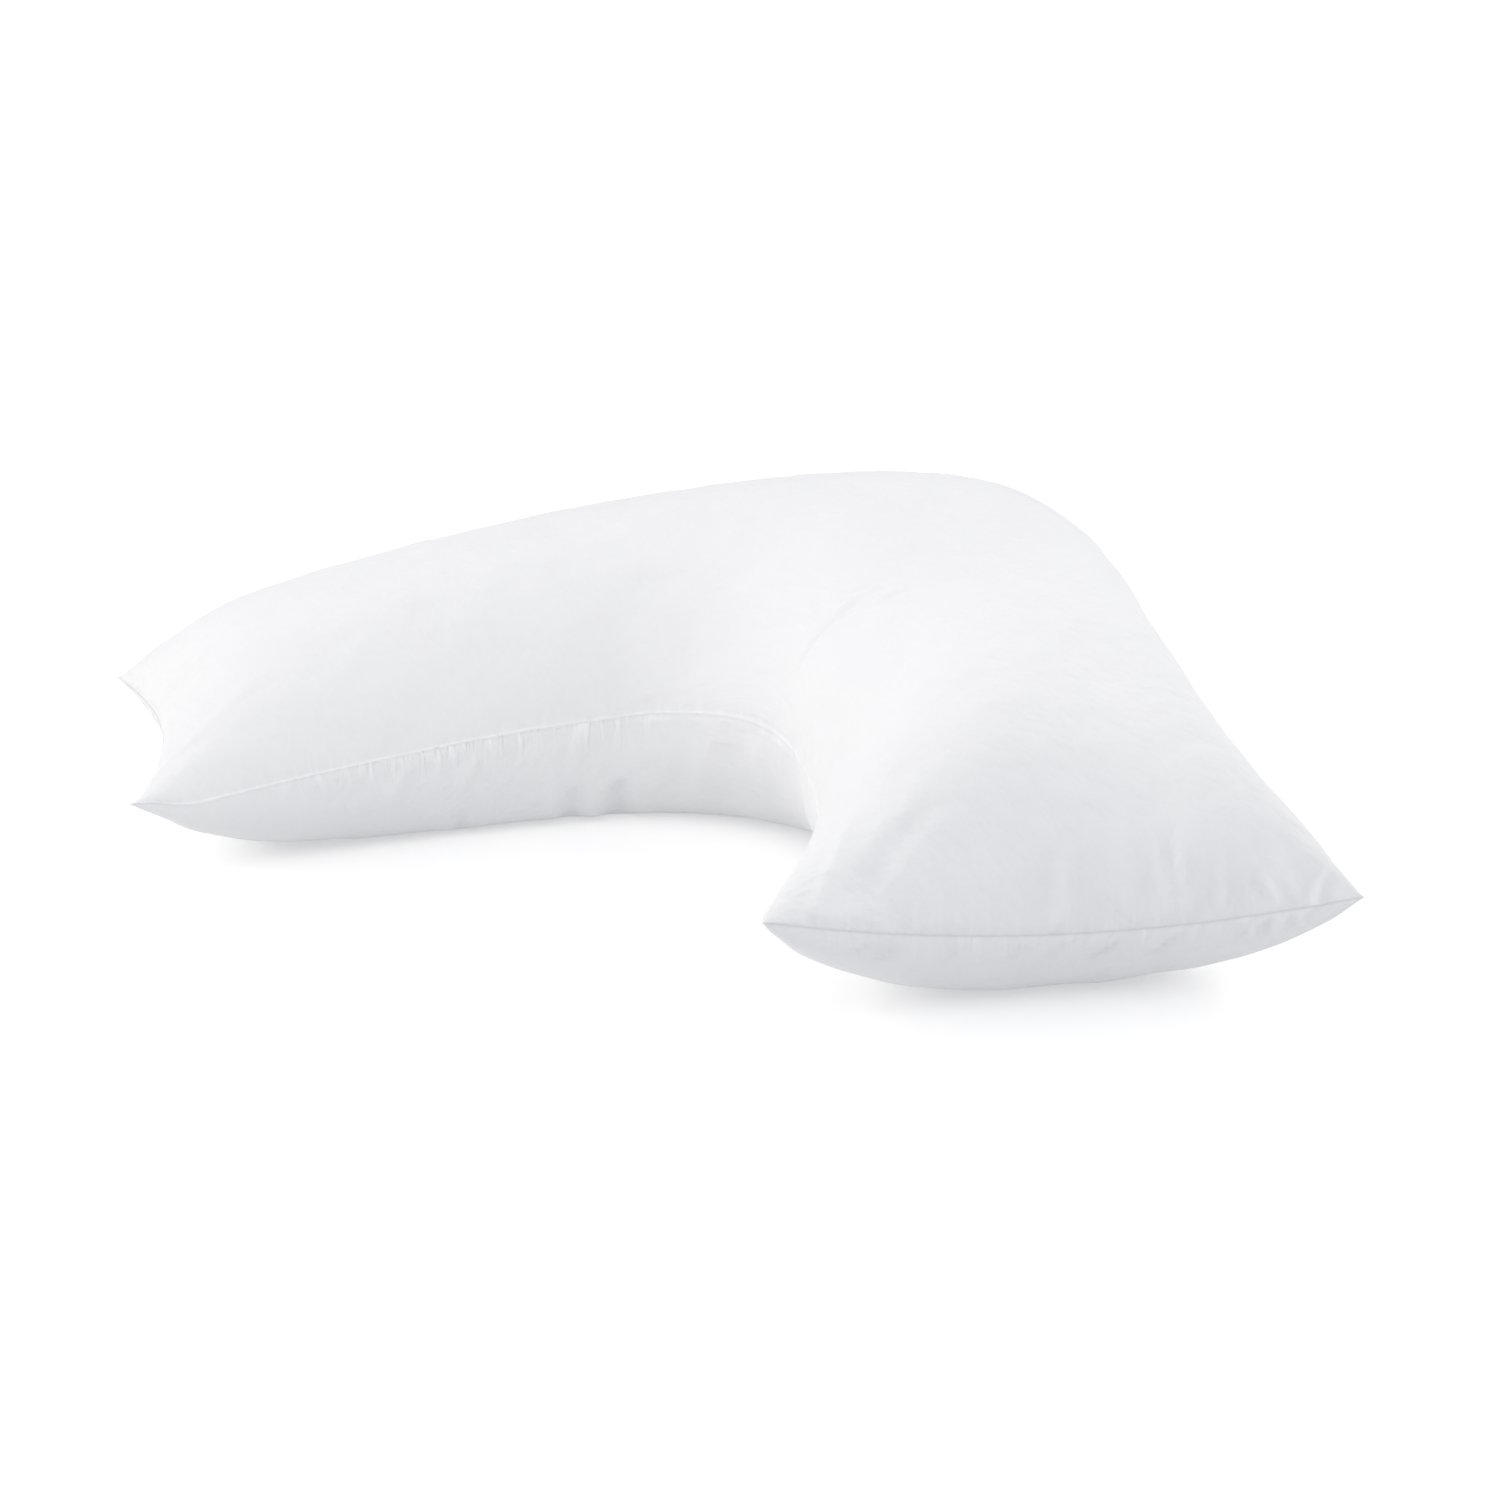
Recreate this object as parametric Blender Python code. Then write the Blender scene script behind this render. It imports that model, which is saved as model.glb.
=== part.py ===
"""Boomerang pillow: one filled cotton cover, its two panels sewn edge to edge.

Metres, +Z up, the pillow lying flat on Z = 0 with its bend towards +Y.
Each panel is a grid: rows follow the pillow from its left end to its right end,
columns go from the inner seam to the outer seam. The grid's border is the seam.
"""
import bpy
import numpy as np

# The plan: two straight arms that run off a round bend
ARM_ANGLE = np.radians(71.3)
BEND_RADIUS = 0.2565
REACH = {"left": 0.650, "right": 0.647}

# Sections along the pillow: share is -1 at the left end, 0 at the bend, 1 at the right end;
# inner and outer are the seams' distances from the middle line, then come the seams' heights
# above the floor and the crown's height above the seams
SECTION_COLUMNS = ("share", "inner", "outer", "inner_seam", "outer_seam", "crown")
SECTIONS = (
    (-1.00, 0.147, 0.150, 0.080, 0.080, 0.116),
    (-0.78, 0.146, 0.144, 0.085, 0.081, 0.119),
    (-0.56, 0.142, 0.140, 0.092, 0.085, 0.128),
    (-0.34, 0.146, 0.138, 0.100, 0.090, 0.145),
    (-0.15, 0.156, 0.139, 0.104, 0.096, 0.164),
    (0.00, 0.161, 0.138, 0.106, 0.101, 0.175),
    (0.15, 0.158, 0.143, 0.103, 0.103, 0.179),
    (0.34, 0.154, 0.134, 0.096, 0.097, 0.159),
    (0.56, 0.144, 0.139, 0.093, 0.091, 0.139),
    (0.78, 0.148, 0.146, 0.090, 0.088, 0.124),
    (1.00, 0.145, 0.152, 0.085, 0.083, 0.108),
)

# Ends: how far each pointed tip spreads and is set back, how far the end seam is drawn in between
# them, the heights of the tips and of the seam's middle, and how far the inner tip curls up
END_COLUMNS = ("inner_flare", "outer_flare", "inner_back", "outer_back", "drawn_in",
               "inner_tip", "outer_tip", "seam_middle", "inner_curl")
ENDS = {
    "left": (0.061, 0.033, 0.010, 0.052, 0.033, 0.075, 0.091, 0.081, 0.009),
    "right": (0.054, 0.037, -0.001, 0.049, 0.051, 0.095, 0.089, 0.058, 0.000),
}
TIP_LENGTH = 0.1145
CURL_LENGTH = 0.030
END_LENGTH = 0.338

# Section shape: a broad crown leaning to the outer side, and a lower panel that drops steeply
# from the seam and lies flat on the floor
CROWN_FULLNESS = 2.97
CROWN_ROUNDNESS = 0.532
CROWN_LEAN = -0.278
BELLY_FULLNESS = 1.85
BELLY_CURVE = 1.77
BELLY_ROUNDNESS = 0.448
BELLY_FLATTENING = 1.06
LANDING = 0.006

# The seam stands out a little from the panels
SEAM_RIDGE = 0.003

# Creases: the panel, the way each one runs, its place across that way, its two ends,
# its half width and its depth; a side crease runs from seam to seam, an end crease runs up the arm
CREASE_COLUMNS = ("panel", "runs", "place", "start", "stop", "half_width", "depth")
CREASES = (
    ("top", "across", 0.272, -0.95, -0.30, 0.013, 0.0040),
    ("top", "across", 0.350, -0.72, -0.36, 0.012, 0.0028),
    ("top", "across", 0.215, -0.55, -0.15, 0.016, 0.0020),
    ("bottom", "across", -0.410, -0.99, -0.72, 0.016, 0.0060),
    ("bottom", "across", -0.350, -0.99, -0.70, 0.015, 0.0050),
    ("bottom", "across", -0.560, -0.99, -0.75, 0.020, 0.0040),
    ("bottom", "across", -0.700, -0.99, -0.80, 0.020, 0.0030),
    ("top", "along", 0.630, 0.93, 1.00, 0.010, 0.0040),
    ("top", "along", 0.400, 0.92, 1.00, 0.012, 0.0030),
    ("top", "along", 0.810, 0.90, 1.00, 0.010, 0.0030),
    ("top", "along", -0.150, 0.94, 1.00, 0.012, 0.0020),
    ("bottom", "along", 0.560, 0.90, 1.00, 0.012, 0.0040),
    ("bottom", "along", 0.200, 0.92, 1.00, 0.014, 0.0030),
)
CREASE_TAPER = 0.25

# Mesh
ROWS = 112
COLUMNS = 23
ROW_BUNCHING = 0.35

COTTON_WHITE = (0.87, 0.87, 0.885)
COTTON_ROUGHNESS = 0.9


def column(name):
    """One named column of the section table."""
    place = SECTION_COLUMNS.index(name)
    return np.array([row[place] for row in SECTIONS])


def smooth_curve(name, share):
    """A section size at each share: the natural cubic spline through its column."""
    knots = column("share")
    values = column(name)
    count = len(knots)
    gaps = np.diff(knots)
    matrix = np.eye(count)
    bends = np.zeros(count)
    for i in range(1, count - 1):
        matrix[i, i - 1:i + 2] = gaps[i - 1], 2 * (gaps[i - 1] + gaps[i]), gaps[i]
        bends[i] = 6 * ((values[i + 1] - values[i]) / gaps[i] - (values[i] - values[i - 1]) / gaps[i - 1])
    second = np.linalg.solve(matrix, bends)
    k = np.clip(np.searchsorted(knots, share) - 1, 0, count - 2)
    gap = gaps[k]
    past = share - knots[k]
    left = knots[k + 1] - share
    curve = (second[k] * left**3 + second[k + 1] * past**3) / (6 * gap)
    return (curve + (values[k] / gap - second[k] * gap / 6) * left
            + (values[k + 1] / gap - second[k + 1] * gap / 6) * past)


def end_size(name, is_left):
    """A size of the nearer end, picked point by point."""
    place = END_COLUMNS.index(name)
    return np.where(is_left, ENDS["left"][place], ENDS["right"][place])


def middle_line(along):
    """Point, direction and outward normal of the middle line at a signed length from the bend's middle."""
    turn = (np.pi - ARM_ANGLE) / 2
    length = np.abs(along)
    side = np.where(along < 0, -1.0, 1.0)
    angle = np.minimum(length / BEND_RADIUS, turn)
    straight = np.maximum(length - BEND_RADIUS * turn, 0)
    x = BEND_RADIUS * np.sin(angle) + straight * np.cos(turn)
    y = BEND_RADIUS * (np.cos(angle) - 1) - straight * np.sin(turn)
    point = np.stack([side * x, y], -1)
    direction = np.stack([np.cos(angle), -side * np.sin(angle)], -1)
    outward = np.stack([side * np.sin(angle), np.cos(angle)], -1)
    return point, direction, outward


def crease_depths(panel, share, across):
    """How far each point of a panel is pushed in: a bell-shaped valley for each row of CREASES."""
    depth = np.zeros_like(share)
    reach = (REACH["left"] + REACH["right"]) / 2
    half = column("outer").mean()
    for row in CREASES:
        crease = dict(zip(CREASE_COLUMNS, row))
        if crease["panel"] != panel:
            continue
        if crease["runs"] == "across":
            off, run = (share - crease["place"]) * reach, across
        else:
            off, run = (across - crease["place"]) * half, share
        step = (run - crease["start"]) / (crease["stop"] - crease["start"])
        inside = np.clip(step / CREASE_TAPER, 0, 1) * np.clip((1 - step) / CREASE_TAPER, 0, 1)
        fade = inside * inside * (3 - 2 * inside)
        depth += crease["depth"] * fade * np.exp(-(off / crease["half_width"]) ** 2)
    return depth


def panel_normals(points, sign):
    """Outward unit normals of a panel's grid."""
    normal = np.cross(np.gradient(points, axis=0), np.gradient(points, axis=1)) * sign
    return normal / np.maximum(np.linalg.norm(normal, axis=-1, keepdims=True), 1e-9)


def panels():
    """The two panels' grids of points; their borders are the same."""
    even = np.linspace(-1, 1, ROWS)
    rows = even + ROW_BUNCHING * np.sin(np.pi * even) / np.pi
    cols = np.sin(np.linspace(-1, 1, COLUMNS) * np.pi / 2)
    share, across = np.meshgrid(rows, cols, indexing="ij")
    is_left = share < 0
    reach = np.where(is_left, REACH["left"], REACH["right"])
    point, direction, outward = middle_line(share * reach)
    from_end = (1 - np.abs(share)) * reach
    size = {name: smooth_curve(name, share) for name in SECTION_COLUMNS[1:]}

    # Plan: half widths, spread tips, drawn-in ends
    tip = np.exp(-(from_end / TIP_LENGTH) ** 1.5)
    inner = across < 0
    half = np.where(inner, size["inner"], size["outer"])
    flare = np.where(inner, end_size("inner_flare", is_left), end_size("outer_flare", is_left))
    to_outer = (across + 1) / 2
    back = end_size("inner_back", is_left) * (1 - to_outer) + end_size("outer_back", is_left) * to_outer
    drawn = end_size("drawn_in", is_left) * (1 - across**2) * np.exp(-(from_end / TIP_LENGTH) ** 2)
    side = np.where(is_left, -1.0, 1.0)
    plan = point + outward * (across * (half + flare * tip))[..., None]
    plan = plan - direction * (side * (back * tip + drawn))[..., None]

    # The seam's height, easing to the tips and to the middle of each end
    ease = np.clip(from_end / END_LENGTH, 0, 1)
    ease = ease * ease * (3 - 2 * ease)
    inner_tip = end_size("inner_tip", is_left)
    outer_tip = end_size("outer_tip", is_left)
    inner_height = inner_tip + (size["inner_seam"] - inner_tip) * ease
    outer_height = outer_tip + (size["outer_seam"] - outer_tip) * ease
    sag = end_size("seam_middle", is_left) - (inner_tip + outer_tip) / 2
    curl = end_size("inner_curl", is_left) * np.exp(-(from_end / CURL_LENGTH) ** 2) * np.clip(-across, 0, 1) ** 8
    seam = inner_height * (1 - to_outer) + outer_height * to_outer + sag * (1 - across**2) * (1 - ease) + curl

    # The crown and the belly
    closing = 1 - (1 - np.clip(from_end / END_LENGTH, 0, 1)) ** 2
    leaned = across + CROWN_LEAN * (1 - across**2)
    dome = np.clip(closing * (1 - np.abs(leaned) ** CROWN_FULLNESS), 0, 1) ** CROWN_ROUNDNESS
    top = np.concatenate([plan, (seam + size["crown"] * dome)[..., None]], -1)
    bowl = np.clip(closing * (1 - np.abs(across) ** BELLY_FULLNESS), 0, 1)
    bowl = (1 - (1 - bowl) ** BELLY_CURVE) ** BELLY_ROUNDNESS
    above = np.maximum(seam * (1 - BELLY_FLATTENING * bowl), 0)
    above = above * above / (above + LANDING) * (seam + LANDING) / seam
    bottom = np.concatenate([plan, above[..., None]], -1)

    # Creases, and the seam standing out
    top -= panel_normals(top, 1) * crease_depths("top", share, across)[..., None]
    pressed = panel_normals(bottom, -1) * crease_depths("bottom", share, across)[..., None]
    bottom[..., :2] -= np.where(bottom[..., 2:] > 0, pressed[..., :2], 0)
    border = np.zeros(share.shape, bool)
    border[[0, -1], :] = True
    border[:, [0, -1]] = True
    sideways = outward * np.where(np.abs(across) == 1, np.sign(across), 0)[..., None]
    endways = direction * np.where(np.abs(share) == 1, side, 0)[..., None]
    out = sideways + endways
    out = out / np.maximum(np.linalg.norm(out, axis=-1, keepdims=True), 1e-9) * SEAM_RIDGE
    flat = plan + out
    for grid in (top, bottom):
        grid[border, :2] = flat[border]
        grid[border, 2] = seam[border]
    return top, bottom


def pillow_mesh():
    """Both panels in one closed mesh of triangles, standing on the origin's level and centred over it."""
    top, bottom = panels()
    rows, cols = top.shape[:2]
    upper = np.arange(rows * cols).reshape(rows, cols)
    lower = upper.copy()
    inside = np.zeros((rows, cols), bool)
    inside[1:-1, 1:-1] = True
    lower[inside] = rows * cols + np.arange(inside.sum())
    points = np.concatenate([top.reshape(-1, 3), bottom[inside]])
    middle = (points.min(0) + points.max(0)) / 2
    points = points - [middle[0], middle[1], points[:, 2].min()]

    # Each cell is split from the pillow's corners inwards, so that no tip's triangle lies in both panels
    i, j = np.meshgrid(np.arange(rows - 1), np.arange(cols - 1), indexing="ij")
    rising = (i < (rows - 1) / 2) == (j < (cols - 1) / 2)
    faces = []
    for index, turned in ((upper, False), (lower, True)):
        a, b, c, d = index[:-1, :-1], index[1:, :-1], index[1:, 1:], index[:-1, 1:]
        first = np.where(rising[..., None], np.stack([a, b, c], -1), np.stack([a, b, d], -1))
        second = np.where(rising[..., None], np.stack([a, c, d], -1), np.stack([b, c, d], -1))
        both = np.concatenate([first.reshape(-1, 3), second.reshape(-1, 3)])
        faces.append(both[:, ::-1] if turned else both)
    mesh = bpy.data.meshes.new("pillow")
    mesh.from_pydata(points.tolist(), [], np.concatenate(faces).tolist())
    mesh.polygons.foreach_set("use_smooth", np.ones(len(mesh.polygons), bool))
    mesh.update()
    return mesh


def cotton():
    """The cover's material."""
    material = bpy.data.materials.new("cotton")
    material.use_nodes = True
    shader = material.node_tree.nodes["Principled BSDF"]
    shader.inputs["Base Color"].default_value = (*COTTON_WHITE, 1)
    shader.inputs["Roughness"].default_value = COTTON_ROUGHNESS
    shader.inputs["Metallic"].default_value = 0.0
    return material


def main():
    for thing in list(bpy.data.objects):
        bpy.data.objects.remove(thing)
    mesh = pillow_mesh()
    mesh.materials.append(cotton())
    bpy.context.scene.collection.objects.link(bpy.data.objects.new("pillow", mesh))


main()
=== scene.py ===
"""Looks of the boomerang pillow: its filled cotton cover with gathered seams, and a pale studio."""

import bpy
import numpy as np
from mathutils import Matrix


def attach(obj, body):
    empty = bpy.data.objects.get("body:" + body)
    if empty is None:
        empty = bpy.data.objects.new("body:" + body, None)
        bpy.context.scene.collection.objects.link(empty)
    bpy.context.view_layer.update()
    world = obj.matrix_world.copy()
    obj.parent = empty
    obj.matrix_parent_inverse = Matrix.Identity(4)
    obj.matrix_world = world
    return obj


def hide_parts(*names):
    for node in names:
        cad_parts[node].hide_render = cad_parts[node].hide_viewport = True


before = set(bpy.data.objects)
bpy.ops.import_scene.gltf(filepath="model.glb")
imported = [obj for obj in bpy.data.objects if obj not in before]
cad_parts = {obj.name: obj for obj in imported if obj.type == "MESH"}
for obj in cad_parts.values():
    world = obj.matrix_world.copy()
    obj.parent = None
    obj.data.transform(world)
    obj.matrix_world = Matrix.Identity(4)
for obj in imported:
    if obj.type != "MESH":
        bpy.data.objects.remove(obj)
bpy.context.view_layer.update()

# Camera: place, the way it looks and its lens
CAMERA_PLACE = (1.0438, -1.5400, 0.5813)
CAMERA_DOWN = np.radians(14.857)
CAMERA_TURN = np.radians(32.920)
CAMERA_LENS_MM = 58.43
SENSOR_MM = 36.0

# The middle of the plan, which the CAD model puts over its origin
PLAN_MIDDLE = (0.00244, -0.20682)

# The plan: two straight arms that run off a round bend
ARM_ANGLE = np.radians(71.3)
BEND_RADIUS = 0.2565
REACH = {"left": 0.650, "right": 0.647}

# Sections along the pillow: share is -1 at the left end, 0 at the bend, 1 at the right end
SECTION_COLUMNS = ("share", "inner", "outer", "inner_seam", "outer_seam", "crown")
SECTIONS = (
    (-1.00, 0.147, 0.150, 0.080, 0.080, 0.116),
    (-0.78, 0.146, 0.144, 0.085, 0.081, 0.119),
    (-0.56, 0.142, 0.140, 0.092, 0.085, 0.128),
    (-0.34, 0.146, 0.138, 0.100, 0.090, 0.145),
    (-0.15, 0.156, 0.139, 0.104, 0.096, 0.164),
    (0.00, 0.161, 0.138, 0.106, 0.101, 0.175),
    (0.15, 0.158, 0.143, 0.103, 0.103, 0.179),
    (0.34, 0.154, 0.134, 0.096, 0.097, 0.159),
    (0.56, 0.144, 0.139, 0.093, 0.091, 0.139),
    (0.78, 0.148, 0.146, 0.090, 0.088, 0.124),
    (1.00, 0.145, 0.152, 0.085, 0.083, 0.108),
)

# How steeply the tips, the puckers and the fine gathers fade: the power in exp(-t^FADE_POWER)
FADE_POWER = 1.5

# Ends: spread and set-back of the tips, depth of the drawn-in end seam, heights, curl of the inner tip
END_COLUMNS = ("inner_flare", "outer_flare", "inner_back", "outer_back", "drawn_in",
               "inner_tip", "outer_tip", "seam_middle", "inner_curl")
ENDS = {
    "left": (0.061, 0.033, 0.010, 0.052, 0.033, 0.075, 0.091, 0.081, 0.009),
    "right": (0.054, 0.037, -0.001, 0.049, 0.051, 0.095, 0.089, 0.058, 0.000),
}
TIP_LENGTH = 0.1145
CURL_LENGTH = 0.030
CURL_POWER = 8
END_LENGTH = 0.338

# Section shape: the powers of the crown and the belly, the crown's lean, and how softly the belly lands
CROWN_FULLNESS = 2.97
CROWN_ROUNDNESS = 0.532
CROWN_LEAN = -0.278
BELLY_FULLNESS = 1.85
BELLY_CURVE = 1.77
BELLY_ROUNDNESS = 0.448
BELLY_FLATTENING = 1.06
LANDING = 0.006

# Creases of the crown round the bend, from a lower to an upper point: height below 0 is a valley
CREASE_COLUMNS = ("share_low", "across_low", "share_high", "across_high", "bow", "half_width", "height")
CREASES = (
    (0.246, -0.95, 0.302, -0.56, 1.6, 0.0040, -0.0022),
    (0.250, -0.74, 0.294, -0.48, 1.0, 0.0038, 0.0015),
    (0.234, -0.76, 0.300, -0.38, 1.0, 0.0040, -0.0012),
    (0.300, -0.68, 0.332, -0.48, 1.0, 0.0038, 0.0014),
    (0.320, -0.64, 0.356, -0.38, 1.0, 0.0040, -0.0017),
)
CREASE_TAPER = 0.35

# Grid of each panel: its steps are shorter by SEAM_BUNCHING at a seam, and that fades over SEAM_SHARE of
# the way in; the way is measured in FINE_STEPS
ROWS = 361
COLUMNS = 137
SEAM_BUNCHING = 0.82
SEAM_SHARE = 0.06
FINE_STEPS = 4000

# Filling: broad swells of the top panel, and hollows where the height is below 0, against its plain crown;
# both spreads are in the same shares of the pillow as the places
SWELL_COLUMNS = ("share", "across", "spread_along", "spread_across", "height")
SWELLS = (
    (1.00, 0.55, 0.15, 0.45, 0.018),
    (0.80, -0.25, 0.20, 0.45, 0.015),
    (0.45, 0.05, 0.25, 0.35, -0.015),
    (0.60, 0.45, 0.20, 0.25, -0.012),
    (0.25, -0.30, 0.20, 0.35, -0.012),
    (-0.05, -0.65, 0.20, 0.40, -0.007),
    (-0.50, -0.05, 0.40, 0.25, -0.004),
)
SWELL_START = 0.035

# Filling: soft lumps under the cloth
LUMP_SEED = 4
LUMP_COUNT = 46
LUMP_SIZE = (0.035, 0.085)
LUMP_HEIGHT = {"top": 0.0010, "bottom": 0.0022}
LUMP_START = 0.030

# Left end: how far the bottom panel tucks in under the end seam, and over what lengths
TUCK = 0.0085
TUCK_START = 0.004
TUCK_REACH = 0.060

# Gathers and puckers: many of them along a stretch of seam, whose places count from the left end along a
# side seam and from the inner tip along an end seam; root is how much of their height is left right at the
# seam. The cloth pass shapes the gathers further.
PUCKER_COLUMNS = ("panel", "seam", "start", "stop", "pitch", "reach", "root", "height")
GATHERS = (
    ("bottom", "inner", 0.08, 0.44, 0.036, 0.045, 0.3, 0.0026),
    ("bottom", "inner", 0.44, 0.86, 0.032, 0.045, 0.3, 0.0016),
    ("top", "inner", 0.45, 1.00, 0.040, 0.040, 0.0, 0.0009),
    ("top", "right_end", 0.03, 0.39, 0.034, 0.065, 0.0, 0.0028),
    ("bottom", "right_end", 0.10, 0.32, 0.036, 0.040, 0.0, 0.0010),
    ("top", "left_end", 0.02, 0.38, 0.032, 0.055, 0.0, 0.0018),
    ("bottom", "left_end", 0.02, 0.38, 0.035, 0.045, 0.0, 0.0008),
    ("top", "outer", 0.02, 1.45, 0.045, 0.050, 0.3, 0.0020),
    ("bottom", "outer", 0.08, 1.34, 0.042, 0.060, 0.3, 0.0028),
)
PUCKERS = (
    ("bottom", "inner", 0.13, 0.31, 0.0125, 0.014, 0.3, 0.0013),
    ("bottom", "inner", 0.16, 0.43, 0.020, 0.026, 0.1, 0.0015),
    ("bottom", "inner", 0.40, 0.60, 0.024, 0.045, 0.1, 0.0011),
    ("top", "inner", 0.02, 0.45, 0.024, 0.012, 0.1, 0.0005),
    ("top", "right_end", 0.01, 0.40, 0.017, 0.020, 0.0, 0.0006),
    ("top", "right_end", 0.03, 0.39, 0.024, 0.055, 0.0, 0.0014),
    ("bottom", "right_end", 0.02, 0.40, 0.018, 0.016, 0.0, 0.0006),
    ("top", "left_end", 0.01, 0.39, 0.017, 0.012, 0.0, 0.0009),
    ("bottom", "left_end", 0.01, 0.39, 0.018, 0.012, 0.0, 0.0006),
    ("top", "outer", 0.02, 1.45, 0.021, 0.014, 0.3, 0.0010),
    ("bottom", "outer", 0.06, 1.40, 0.020, 0.014, 0.3, 0.0012),
)
PUCKER_LEAN = 1.45
PUCKER_SEED = 11
# How much they vary by chance: their shift and half width in pitches, their drift along the seam for each
# metre away from it, and their share of the height; a pair is a middle and a spread
PUCKER_SHIFT = 0.45
PUCKER_WIDTH = (0.36, 0.14)
PUCKER_DRIFT = 0.5
PUCKER_SIZE = (0.65, 0.60)
# Half widths past which a pucker is left out, and how deep its root at the seam goes
PUCKER_CUT = 3
ROOT_REACH = 0.005

# Folds by the seams, one by one: lean is how far a fold drifts along the seam for each metre away from it
FOLD_COLUMNS = ("panel", "seam", "place", "lean", "near", "far", "half_width", "height")
FOLDS = (
    ("top", "right_end", 0.264, -0.9, 0.003, 0.028, 0.0038, 0.0020),
    ("top", "right_end", 0.289, 0.0, 0.014, 0.060, 0.0050, 0.0018),
    ("top", "right_end", 0.302, 0.0, 0.016, 0.060, 0.0045, 0.0018),
    ("top", "right_end", 0.306, 0.2, 0.005, 0.026, 0.0038, 0.0020),
    ("top", "right_end", 0.329, 0.0, 0.006, 0.034, 0.0042, 0.0015),
    ("top", "right_end", 0.368, -0.46, 0.001, 0.027, 0.0042, 0.0024),
    ("top", "right_end", 0.360, -0.64, 0.004, 0.025, 0.0040, -0.0018),
    ("top", "right_end", 0.223, 0.0, 0.004, 0.066, 0.0060, 0.0018),
    ("top", "right_end", 0.209, 0.0, 0.010, 0.060, 0.0055, -0.0015),
    ("top", "right_end", 0.062, 0.6, 0.006, 0.095, 0.0150, -0.0034),
    ("top", "right_end", 0.089, 0.0, 0.0005, 0.010, 0.0042, 0.0018),
    ("top", "right_end", 0.143, 0.0, 0.0005, 0.010, 0.0042, 0.0018),
    ("top", "right_end", 0.214, 0.2, 0.0005, 0.010, 0.0040, 0.0018),
    ("bottom", "right_end", 0.344, -0.3, 0.002, 0.026, 0.0040, -0.0016),
    ("bottom", "right_end", 0.351, -0.3, 0.001, 0.022, 0.0040, 0.0022),
    ("bottom", "right_end", 0.357, -0.1, 0.003, 0.020, 0.0036, -0.0014),
    ("bottom", "right_end", 0.364, 0.2, 0.001, 0.022, 0.0040, 0.0022),
    ("bottom", "right_end", 0.376, 0.4, 0.001, 0.016, 0.0038, 0.0016),
    ("bottom", "right_end", 0.296, -1.0, 0.002, 0.022, 0.0040, 0.0024),
    ("bottom", "right_end", 0.260, -1.2, 0.002, 0.024, 0.0040, 0.0024),
    ("bottom", "right_end", 0.219, -0.9, 0.002, 0.018, 0.0038, 0.0019),
    ("bottom", "right_end", 0.193, -0.8, 0.002, 0.020, 0.0038, 0.0020),
    ("bottom", "right_end", 0.147, -0.6, 0.002, 0.020, 0.0038, 0.0023),
    ("bottom", "right_end", 0.103, -0.9, 0.002, 0.024, 0.0040, 0.0024),
    ("bottom", "right_end", 0.084, -0.9, 0.002, 0.020, 0.0038, 0.0020),
    ("top", "outer", 1.453, 1.4, 0.014, 0.065, 0.0070, 0.0026),
    ("bottom", "inner", 0.376, 0.1, 0.050, 0.125, 0.0095, -0.0042),
    ("bottom", "inner", 0.414, 0.1, 0.052, 0.125, 0.0095, -0.0050),
    ("bottom", "inner", 0.280, 0.2, 0.060, 0.110, 0.0070, -0.0030),
    ("bottom", "inner", 0.352, 0.15, 0.012, 0.062, 0.0065, 0.0020),
    ("bottom", "inner", 0.294, -0.4, 0.006, 0.050, 0.0065, 0.0020),
    ("bottom", "inner", 0.236, -0.5, 0.004, 0.046, 0.0065, 0.0020),
    ("bottom", "inner", 0.190, -0.5, 0.004, 0.040, 0.0060, 0.0016),
    ("bottom", "inner", 0.476, 0.0, 0.020, 0.095, 0.0100, 0.0020),
    ("bottom", "inner", 0.507, 0.0, 0.015, 0.090, 0.0110, -0.0020),
    ("bottom", "inner", 0.535, 0.0, 0.012, 0.080, 0.0090, 0.0018),
)
FOLD_TAPER = 0.3

# Section of a fold or crease: its breadth in half widths, and how deep the valleys beside it are
RIDGE_BREADTH = 1.3
RIDGE_VALLEYS = 1.4

# Fine gathers right at the seams, made by the material's bump: how deep they reach and how strong they are
# on each stretch; the seams' runs, laid end to end for the material, start RUN_APART metres from one another
FINE_COLUMNS = ("panel", "seam", "start", "stop", "depth", "strength")
FINE_GATHERS = (
    ("bottom", "inner", 0.12, 0.46, 0.018, 1.0),
    ("bottom", "inner", 0.46, 0.95, 0.010, 0.4),
    ("top", "inner", 0.05, 0.95, 0.008, 0.3),
    ("top", "right_end", 0.02, 0.40, 0.016, 0.35),
    ("bottom", "right_end", 0.02, 0.40, 0.014, 0.4),
    ("top", "left_end", 0.02, 0.38, 0.014, 0.35),
    ("bottom", "left_end", 0.02, 0.38, 0.014, 0.4),
    ("top", "outer", 0.02, 1.45, 0.012, 0.35),
    ("bottom", "outer", 0.02, 1.45, 0.014, 0.5),
)
FINE_FADE = 0.03
RUN_APART = 3

# Unevenness of the cloth: soft waves of these lengths, the root mean square height of their sum, and how far
# from a seam they start
WAVE_SEED = 7
WAVE_COUNT = 60
WAVE_LENGTHS = (0.030, 0.085)
WAVE_HEIGHT = 0.00030
WAVE_START = 0.008

# Cloth: spare length by the seams, how deep the free border goes, how far a point may move, in how many
# steps it is held, and how many frames the cloth runs
SPARE = {"top": 0.015, "bottom": 0.020}
SPARE_REACH = 0.030
FREE_REACH = 0.070
MOVE_CAP = 0.004
HOLD_LEVELS = 50
CLOTH_FRAMES = 14

# Seam: how far its edge stands out, over what breadth, and the powers that keep the way out close to the
# sides and to the ends
SEAM_STAND = {"inner": 0.0014, "outer": 0.0014, "left_end": 0.0010, "right_end": -0.0005}
SEAM_BREADTH = 0.0009
SIDE_POWER = 30
END_POWER = 4

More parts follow.
